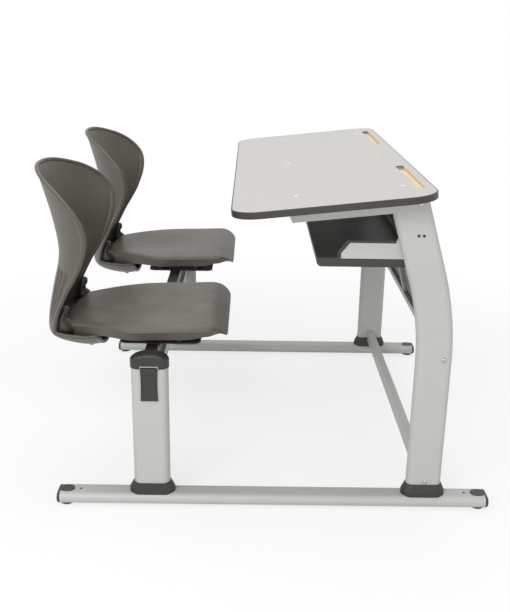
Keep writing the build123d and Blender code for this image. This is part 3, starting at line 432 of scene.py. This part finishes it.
def laminate():
    """Pale laminate, with pale wood and a grey mark at the far end showing in the pencil grooves."""
    material, tree, shader, tone = grained(
        "board_laminate", "c3c0bc", pits=1600, mottle=0.03, rough=0.34, spread=0.1, depth=0.00002
    )
    corner = (BOARD_FRONT, 0, BOARD_FRONT_Z)
    place = object_place(tree)
    inward = measured(tree, place, (cos(BOARD_TILT), 0, sin(BOARD_TILT)), corner)
    raised = measured(tree, place, (-sin(BOARD_TILT), 0, cos(BOARD_TILT)), corner)
    along = measured(tree, place, (0, 1, 0), (0, -GROOVE_MIDDLE, 0))
    past_middle = maths(tree, "FLOORED_MODULO", along, 2 * GROOVE_MIDDLE)
    middle = BOARD_DEPTH - GROOVE_INSET
    half = GROOVE_WIDTH / 2 + GROOVE_MARGIN
    between_walls = banded(tree, inward, middle - half, middle + half)
    below_top = banded(tree, raised, -GROOVE_FINISH_DEPTH, -GROOVE_MARGIN)
    sunk = maths(tree, "MULTIPLY", between_walls, below_top)
    grain = place_effect(tree, STREAKY_WEAR_GRAIN_AND_SHEEN, Stretch=(260.0, 14.0, 260.0), Least=0.4, Most=0.62, Strength=0.9)
    wood = blend_colour(tree, grain["Mask"], hex_colour("efdcb6"), hex_colour("d8b982"))
    tone = blend_colour(tree, sunk, tone, wood)
    # A mid-grey mark at each groove's far end.
    at_end = banded(tree, past_middle, GROOVE_HALF - END_MARK_LENGTH, GROOVE_HALF + END_MARK_MARGIN)
    tone = blend_colour(tree, maths(tree, "MULTIPLY", sunk, at_end), tone, hex_colour("8f8d88"))
    feed(tree, shader.inputs["Base Color"], tone)
    return material


def edge_plastic():
    return grained(
        "board_edge_plastic", "37332f", pits=1200, mottle=0.1, rough=0.42, spread=0.12, depth=0.00003,
        dust=0.05,
    )[0]


def bright_steel():
    return grained(
        "bright_steel", "b8b7b2", pits=1800, mottle=0.1, rough=0.3, spread=0.15, depth=0.00002, metal=1.0
    )[0]


# Near-white bolt heads: the colour is a painted highlight standing for their glints.
def painted_glint_bolt():
    return grained(
        "painted_glint_bolt_heads", "e9e8e4", pits=1500, mottle=0.05, rough=0.35, spread=0.1, depth=0.00002
    )[0]


FINISHES = {
    "frame_paint": silver_paint(),
    "dark_paint": dark_paint(),
    "dark_plastic": dark_plastic(),
    "pale_plastic": pale_plastic(),
    "seat_plastic": shell_plastic(),
    "board_laminate": laminate(),
    "board_edge": edge_plastic(),
    "bright_steel": bright_steel(),
}


def dress_nodes():
    """Give every carried-over CAD node the finish of its slot, or its own."""
    # The board's bolt heads take the near-white painted highlight.
    own = {"board_bolts": painted_glint_bolt()}
    for entry in frame["record"]["subparts"]:
        piece = nodes[entry["node"]]
        piece.data.materials.clear()
        piece.data.materials.append(own.get(entry["node"], FINISHES[entry["material_slot"]]))


dress_nodes()


# Lines, tables and meshes that the seats are made with

CURVE_PARTS = 24


def curve_value(share, before, start, end, after):
    """Value part of the way from start to end, on a curve that heads for the values around them."""
    return 0.5 * (
        2 * start
        + (end - before) * share
        + (2 * before - 5 * start + 4 * end - after) * share**2
        + (3 * start - before - 3 * end + after) * share**3
    )


def smooth_run(points, count):
    """Points spread evenly along a smooth curve through the given ones."""
    dense = []
    last = len(points) - 1
    for step in range(last):
        around = (points[max(step - 1, 0)], points[step], points[step + 1], points[min(step + 2, last)])
        for part in range(CURVE_PARTS):
            dense.append(tuple(curve_value(part / CURVE_PARTS, *values) for values in zip(*around)))
    dense.append(tuple(points[-1]))
    return even_run(dense, count)


def even_run(points, count):
    """The same line with its points moved to even spacing."""
    lengths = [0.0]
    for one, two in zip(points, points[1:]):
        lengths.append(lengths[-1] + sqrt(sum((b - a) ** 2 for a, b in zip(one, two))))
    spaced = []
    index = 0
    for step in range(count + 1):
        wanted = lengths[-1] * step / count
        while index < len(lengths) - 2 and lengths[index + 1] < wanted:
            index += 1
        span = lengths[index + 1] - lengths[index]
        share = (wanted - lengths[index]) / span if span else 0
        spaced.append(tuple(a + (b - a) * share for a, b in zip(points[index], points[index + 1])))
    return spaced


def read_table(table, value):
    """Smoothly read a table of (place, value) pairs."""
    if value <= table[0][0]:
        return table[0][1]
    for index in range(len(table) - 1):
        if value <= table[index + 1][0]:
            (x0, y0), (x1, y1) = table[index], table[index + 1]
            xa, ya = table[max(index - 1, 0)]
            xb, yb = table[min(index + 2, len(table) - 1)]
            slope0 = (y1 - ya) / (x1 - xa)
            slope1 = (yb - y0) / (xb - x0)
            width = x1 - x0
            t = (value - x0) / width
            return (
                (2 * t**3 - 3 * t**2 + 1) * y0
                + (t**3 - 2 * t**2 + t) * width * slope0
                + (3 * t**2 - 2 * t**3) * y1
                + (t**3 - t**2) * width * slope1
            )
    return table[-1][1]


def ease(value, low, high):
    """0 below one value, 1 above the other, and a smooth step between them."""
    share = min(max((value - low) / (high - low), 0), 1)
    return share * share * (3 - 2 * share)


def on_seat(along, across, height, seat_y):
    """A point given in millimetres from the middle of the rails and of the seat, in the frame's metres."""
    return Vector((along + RAILS_MIDDLE / MM, across + seat_y / MM, height)) * MM


def mesh_piece(name, mesh, smooth=True):
    """Scene object made from a finished bmesh."""
    data = bpy.data.meshes.new(name)
    mesh.to_mesh(data)
    mesh.free()
    if smooth:
        data.shade_smooth()
    piece = bpy.data.objects.new(name, data)
    bpy.context.scene.collection.objects.link(piece)
    return piece


def round_off(piece):
    smooth = piece.modifiers.new("round_off", "SUBSURF")
    smooth.levels = 1
    smooth.render_levels = 1


# Moulded shells: rings across the rim's section, and an even sheet front and back


def symmetric_ring(foot, side, top):
    """Closed outline from its right half: along the foot, up the side, over the top."""
    right = foot + side[1:] + top[1:]
    left = [(-x, y) for x, y in reversed(right[1:-1])]
    ring = right + left
    start = len(ring) - len(foot) + 1
    return ring[start:] + ring[:start]


def drawn_in(ring, inset):
    """The outline moved inwards by the inset."""
    moved = []
    count = len(ring)
    for index, (x, y) in enumerate(ring):
        x0, y0 = ring[index - 1]
        x1, y1 = ring[(index + 1) % count]
        run = hypot(x1 - x0, y1 - y0)
        moved.append((x - (y1 - y0) / run * inset, y + (x1 - x0) / run * inset))
    return moved


def moulded_shell(name, ring, columns, rows, section, place, front_lift, rear_lift):
    """Closed shell, smoothed once: its rim's rings, then a sheet over the front and the rear."""
    mesh = bmesh.new()
    loops = []
    for inset, lift in section:
        outline = drawn_in(ring, inset)
        loops.append((outline, [mesh.verts.new(place(x, y, lift)) for x, y in outline]))
    count = len(ring)
    for (_, one), (_, two) in zip(loops, loops[1:]):
        for index in range(count):
            after = (index + 1) % count
            mesh.faces.new((one[index], one[after], two[after], two[index]))
    fill_sheet(mesh, *loops[0], columns, rows, place, front_lift, False)
    fill_sheet(mesh, *loops[-1], columns, rows, place, rear_lift, True)
    bmesh.ops.recalc_face_normals(mesh, faces=mesh.faces)
    shell = mesh_piece(name, mesh)
    round_off(shell)
    return shell


def fill_sheet(mesh, outline, verts, columns, rows, place, lift_at, turned):
    """Even grid of faces inside a ring, each point spread between the ring's four sides."""
    count = len(outline)
    foot = [index for index in range(columns + 1)]
    right = [columns + index for index in range(rows + 1)]
    top = [2 * columns + rows - index for index in range(columns + 1)]
    left = [(count - index) % count for index in range(rows + 1)]
    grid = [[None] * (rows + 1) for _ in range(columns + 1)]
    for column in range(columns + 1):
        grid[column][0] = verts[foot[column]]
        grid[column][rows] = verts[top[column]]
    for row in range(rows + 1):
        grid[0][row] = verts[left[row]]
        grid[columns][row] = verts[right[row]]
    corner = [outline[foot[0]], outline[foot[-1]], outline[top[0]], outline[top[-1]]]
    for column in range(1, columns):
        u = column / columns
        for row in range(1, rows):
            v = row / rows
            spot = []
            for axis in (0, 1):
                across = (1 - v) * outline[foot[column]][axis] + v * outline[top[column]][axis]
                upward = (1 - u) * outline[left[row]][axis] + u * outline[right[row]][axis]
                bent = (
                    (1 - u) * (1 - v) * corner[0][axis] + u * (1 - v) * corner[1][axis]
                    + (1 - u) * v * corner[2][axis] + u * v * corner[3][axis]
                )
                spot.append(across + upward - bent)
            grid[column][row] = mesh.verts.new(place(spot[0], spot[1], lift_at(*spot)))
    for column in range(columns):
        for row in range(rows):
            face = [
                grid[column][row], grid[column + 1][row], grid[column + 1][row + 1], grid[column][row + 1]
            ]
            mesh.faces.new(reversed(face) if turned else face)


# Backrest shells, in millimetres until they are placed

# The back's middle line from the hull's front, under the seat and up to the top
SPINE = [
    (-427, 372.5), (-446, 368), (-466, 366), (-495, 369), (-520, 374.5), (-541, 381.5),
    (-558, 391), (-570, 404), (-575.5, 420), (-575.6, 438), (-571, 471.5), (-563.5, 507), (-555, 543),
    (-546, 578.8), (-541, 614.5), (-543.2, 650.3), (-548.7, 686), (-555.4, 721.8), (-564, 757.5),
    (-573.9, 793.3), (-586, 829),
]
SPINE_STEPS = 240
# A height is looked for from this step on, past the hull, where the line only climbs
CLIMB_STARTS = SPINE_STEPS // 10
# Radius of the curve across the back, by height, and across the hull
BACK_CURVE = [
    (400, 272.8), (436, 275.9), (472, 272.8), (507, 269.7), (543, 269.7), (579, 263.5), (614, 257.3),
    (650, 257.3), (686, 269.7), (722, 291.4), (757, 306.9), (793, 310), (829, 310),
]
HULL_CURVE = 222
# Where the hull turns up into the back: its height, and how far the turn reaches before and past it
TURN_HEIGHT, TURN_BEFORE, TURN_PAST = 425, 75, 25
# Front edge and side of the hull: half width, and distance along the middle line
HULL_FRONT = [(0, 0), (136, 0), (142, 1.5), (145, 3.2)]
HULL_SIDE = [(145, 3.2), (148.4, 7.5), (150, 14), (149, 60), (143, 110)]
# Half width of the back by height, from its foot to the corner of its arch
BACK_SIDE = [
    (140, 425), (140.5, 451), (144, 475), (152, 500), (163, 530), (174, 560), (186, 595), (197, 630),
    (209, 660), (221, 690), (229, 715), (229.5, 735), (223, 755), (208, 775), (186, 791), (168, 800),
]
BACK_TOP = [(168, 800), (130, 812.6), (87, 822), (44, 826.4), (0, 827.4)]
# The rim's section: how far in from the edge, and how far in front of the rear face
BACK_WALL = 5
BACK_RIM = [
    (15, BACK_WALL), (12, 4.8), (10.4, 3.6), (9.4, 4.4), (8.2, 6.4), (6, 7.2), (3.5, 7.2), (1.2, 6.2),
    (0.1, 4), (0.1, 1), (1.2, -1.2), (3.5, -2), (6, -2), (8.2, -1.2), (9.8, 0), (12, 0), (15, 0),
]
BACK_COLUMNS, BACK_ROWS = 56, 84
# Flutes on each side of the neck: distance out at their foot and at their top
FLUTES = ((96, 92), (112, 124), (130, 154))
FLUTE_FOOT, FLUTE_TOP = 436, 590
FLUTE_DEPTH = 7
# Half width at the foot, and how much more at the top
FLUTE_HALF, FLUTE_GROWTH = 7.5, 3.5
# How the flutes lean outwards, and how round their floor is: 1 is straight or a plain parabola
FLUTE_BEND, FLUTE_ROUND = 1.6, 1.2
# They deepen from just before their foot to well past it, and end shortly before their top
FLUTE_BEFORE, FLUTE_PAST, FLUTE_END = 6, 60, 12


def spine_reader():
    """Two readers of the middle line: the point at a distance along it, and the distance to a height."""
    line = smooth_run(SPINE, SPINE_STEPS)
    total = sum(hypot(b[0] - a[0], b[1] - a[1]) for a, b in zip(line, line[1:]))

    def at(run):
        index = min(max(run / total * SPINE_STEPS, 0), SPINE_STEPS - 1e-6)
        step = int(index)
        share = index - step
        (x0, z0), (x1, z1) = line[step], line[step + 1]
        return x0 + (x1 - x0) * share, z0 + (z1 - z0) * share

    def run_at_height(height):
        for step in range(CLIMB_STARTS, SPINE_STEPS):
            z0, z1 = line[step][1], line[step + 1][1]
            if z0 <= height <= z1:
                return total * (step + (height - z0) / (z1 - z0)) / SPINE_STEPS
        return total

    return at, run_at_height, total


def back_place(seat_y):
    """Places a point of the back by how far it is out, along the middle line and in front."""
    at, run_at_height, total = spine_reader()
    turn_start = run_at_height(TURN_HEIGHT) - TURN_BEFORE
    turn_end = run_at_height(TURN_HEIGHT) + TURN_PAST

    def surface(across, run):
        x, z = at(run)
        turned = ease(run, turn_start, turn_end)
        radius = HULL_CURVE + (read_table(BACK_CURVE, z) - HULL_CURVE) * turned
        rise = radius - sqrt(radius**2 - across**2)
        lean = turned * pi / 2
        return Vector((x + rise * sin(lean), across, z + rise * cos(lean)))

    def place(across, run, lift):
        over = surface(across + 1, run) - surface(across - 1, run)
        along = surface(across, min(run + 1, total)) - surface(across, max(run - 1, 0))
        inward = over.cross(along).normalized()
        return on_seat(*(surface(across, run) + inward * lift), seat_y)

    return place, run_at_height


def seat_shell(side, seat_y):
    """Backrest with its beaded rim, fluted neck and the hull under the seat."""
    place, run_at_height = back_place(seat_y)
    foot = even_run(HULL_FRONT, BACK_COLUMNS // 2)
    side_line = smooth_run(HULL_SIDE + [(half, run_at_height(z)) for half, z in BACK_SIDE], BACK_ROWS)
    top = smooth_run([(half, run_at_height(z)) for half, z in BACK_TOP], BACK_COLUMNS // 2)
    ring = symmetric_ring(foot, side_line, top)
    low, high = run_at_height(FLUTE_FOOT), run_at_height(FLUTE_TOP)

    def wall(across, run):
        return BACK_WALL

    def flutes(across, run):
        depth = 0.0
        fade = ease(run, low - FLUTE_BEFORE, low + FLUTE_PAST) * (1 - ease(run, high - FLUTE_END, high))
        if fade:
            share = (run - low) / (high - low)
            for foot_out, top_out in FLUTES:
                middle = foot_out + (top_out - foot_out) * share**FLUTE_BEND
                off = abs(abs(across) - middle) / (FLUTE_HALF + FLUTE_GROWTH * share)
                if off < 1:
                    depth += FLUTE_DEPTH * fade * (1 - off**2) ** FLUTE_ROUND
        return depth

    return moulded_shell(f"{side}_back_shell", ring, BACK_COLUMNS, BACK_ROWS, BACK_RIM, place, wall, flutes)


# Seat pans, in millimetres until they are placed

PAN_HALF = 195
PAN_FRONT = -116
PAN_REAR = -515
# Rear edge with its scallops: distance out, and how far in front of the pan's rear
PAN_REAR_EDGE = [
    (0, -8), (12, -9), (23, -13), (34, -8), (46, -5.5), (57, -6), (69, -9), (80, -3), (92, 0), (104, -1),
    (117, 0),
]
# Side edge in the same way, and then the front edge, told from the pan's front
PAN_SIDE_EDGE = [
    (117, 0), (126, 8), (134, 28), (145, 54), (157, 80), (175, 118), (189, 150), (PAN_HALF, 182),
    (PAN_HALF, 215), (PAN_HALF, 255), (PAN_HALF, 295), (PAN_HALF, 335), (193.5, 361), (185, 383),
]
PAN_FRONT_EDGE = [(185, -16), (174, -5), (154, -0.6), (100, 0), (50, 0), (0, 0)]
# Height of the pan's top along its edges
PAN_TOP = [
    (-530, 449), (PAN_REAR, 452.5), (-494, 456.5), (-454, 460.5), (-414, 462), (-374, 462), (-334, 462.5),
    (-294, 464), (-214, 466), (-174, 467.5), (-158, 467), (-146, 464.5), (-136, 460), (-127, 453.5),
    (PAN_FRONT, 443),
]
# The hollow in its middle: depth, half width, and where it deepens and where it ends
HOLLOW_DEPTH, HOLLOW_HALF = 9, 165
HOLLOW_STARTS, HOLLOW_ENDS = (PAN_REAR, -390), (-300, -170)
# The pan's edge: how far in from its outline, and how far below its top
PAN_RIM = [
    (15, 0), (11, 0.3), (7.5, 0.9), (4.6, 2), (2.2, 3.7), (0.7, 5.8), (0, 8), (0.3, 9.4), (1.6, 10.8),
    (3.4, 14), (6, 20), (8.5, 26), (10.5, 30.5), (11.6, 31.4), (12.8, 30.6), (12.8, 26), (12, 18), (12.4, 9),
    (13.6, 5.4), (15, 4.2),
]
PAN_WALL = 4
PAN_COLUMNS, PAN_ROWS = 44, 52
# Below this the edge is the lip, which is deeper at the rear and shallower at the front
LIP_START = 9.4
LIP_DEEPER, LIP_DEEPER_TILL = 0.5, (-505, -410)
LIP_SHALLOWER, LIP_SHALLOWER_FROM = 0.3, (-215, -165)
# Share of its depth that the whole edge loses at the rolled front
ROLL_LOSS, ROLL_FROM = 0.72, (-168, -120)


def seat_pan(side, seat_y):
    """Dished pan with a rolled front, a crease and a lip that leans under."""
    foot = smooth_run([(out, PAN_REAR + ahead) for out, ahead in PAN_REAR_EDGE], PAN_COLUMNS // 2)
    side_line = smooth_run([(out, PAN_REAR + ahead) for out, ahead in PAN_SIDE_EDGE], PAN_ROWS)
    top = smooth_run([(out, PAN_FRONT + ahead) for out, ahead in PAN_FRONT_EDGE], PAN_COLUMNS // 2)
    ring = symmetric_ring(foot, side_line, top)

    def height(across, along):
        round_middle = (1 - min((across / HOLLOW_HALF) ** 2, 1)) ** 2
        hollow = HOLLOW_DEPTH * round_middle * ease(along, *HOLLOW_STARTS) * (1 - ease(along, *HOLLOW_ENDS))
        return read_table(PAN_TOP, along) - hollow

    def place(across, along, drop):
        if drop > LIP_START:
            deeper = LIP_DEEPER * (1 - ease(along, *LIP_DEEPER_TILL))
            shallower = LIP_SHALLOWER * ease(along, *LIP_SHALLOWER_FROM)
            drop = LIP_START + (drop - LIP_START) * (1 + deeper - shallower)
        drop *= 1 - ROLL_LOSS * ease(along, *ROLL_FROM)
        return on_seat(along, across, height(across, along) - drop, seat_y)

    def surface(across, along):
        return 0

    def underside(across, along):
        return PAN_WALL

    return moulded_shell(
        f"{side}_pan_shell", ring, PAN_COLUMNS, PAN_ROWS, PAN_RIM, place, surface, underside
    )


# Middle of the four screws under a pan, and how far from it they stand
SCREW_MIDDLE = -296
SCREW_OUT = (56, 105)
PLATE_TOP = 403
# A boss from the plate up: radius and height, its sides, and how far in every second one lies
BOSS_SECTIONS = ((8.6, PLATE_TOP), (8.2, PLATE_TOP + 3), (8.0, 452), (9.5, 455.5))
BOSS_SIDES = 24
RIB_SHARE = 0.94


def pan_bosses(side, seat_y):
    """Ribbed bosses that stand on the bracket plate and hold the pan's screws."""
    mesh = bmesh.new()
    for x in (-SCREW_OUT[0], SCREW_OUT[0]):
        for y in (-SCREW_OUT[1], SCREW_OUT[1]):
            sections = []
            for radius, z in BOSS_SECTIONS:
                section = []
                for turn in range(BOSS_SIDES):
                    angle = turn * 2 * pi / BOSS_SIDES
                    rib = 1 if turn % 2 else RIB_SHARE
                    along = SCREW_MIDDLE + x + radius * cos(angle)
                    across = y + radius * sin(angle) * rib
                    section.append(mesh.verts.new(on_seat(along, across, z, seat_y)))
                sections.append(section)
            for low, high in zip(sections, sections[1:]):
                for turn in range(BOSS_SIDES):
                    after = (turn + 1) % BOSS_SIDES
                    mesh.faces.new((low[turn], low[after], high[after], high[turn]))
            mesh.faces.new(reversed(sections[0]))
            mesh.faces.new(sections[-1])
    return mesh_piece(f"{side}_pan_bosses", mesh, smooth=False)


# Side outline of a joint block, from its foot round over its top
BLOCK_SIDE = [
    (-531, 424), (-533, 440), (-530, 466), (-524, 486), (-519, 494), (-511, 495), (-505, 491), (-505, 479),
    (-511, 470), (-510, 463), (-501, 457), (-495, 447), (-493, 436), (-500, 427), (-515, 424),
]
BLOCK_INNER, BLOCK_OUTER = 112, 134
# Edges sharper than this angle, in radians, are rounded
BLOCK_SHARP, BLOCK_ROUND, BLOCK_ROUND_PARTS = 1.2, 3, 3


def joint_blocks(side, seat_y):
    """Rounded blocks that join the neck of the back to the pan's rear corners."""
    mesh = bmesh.new()
    count = len(BLOCK_SIDE)
    for hand in (-1, 1):
        inner, outer = [
            [mesh.verts.new(on_seat(x, hand * out, z, seat_y)) for x, z in BLOCK_SIDE]
            for out in (BLOCK_INNER, BLOCK_OUTER)
        ]
        for index in range(count):
            after = (index + 1) % count
            mesh.faces.new((inner[index], inner[after], outer[after], outer[index]))
        mesh.faces.new(inner)
        mesh.faces.new(outer)
    bmesh.ops.recalc_face_normals(mesh, faces=mesh.faces)
    sharp = [edge for edge in mesh.edges if edge.calc_face_angle() > BLOCK_SHARP]
    bmesh.ops.bevel(mesh, geom=sharp, offset=BLOCK_ROUND * MM, segments=BLOCK_ROUND_PARTS, affect="EDGES")
    return mesh_piece(f"{side}_joint_blocks", mesh)


def carry(piece, slot):
    """Finish a piece and let it move with the bench."""
    piece.data.materials.append(FINISHES[slot])
    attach(piece, "seat_carriage")
    return piece


for side, seat_y in (("near", -SEAT_Y), ("far", SEAT_Y)):
    # The joint blocks take the dark plastic as painted shade: they are of the seat's plastic, dark only for
    # the shade that they lie in.
    blocks = carry(joint_blocks(side, seat_y), "dark_plastic")
    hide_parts(f"{side}_back_clips")
    carry(pan_bosses(side, seat_y), "seat_plastic")
    back = carry(seat_shell(side, seat_y), "seat_plastic")
    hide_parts(f"{side}_seat_back")
    pan = carry(seat_pan(side, seat_y), "seat_plastic")
    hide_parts(f"{side}_seat_pan")
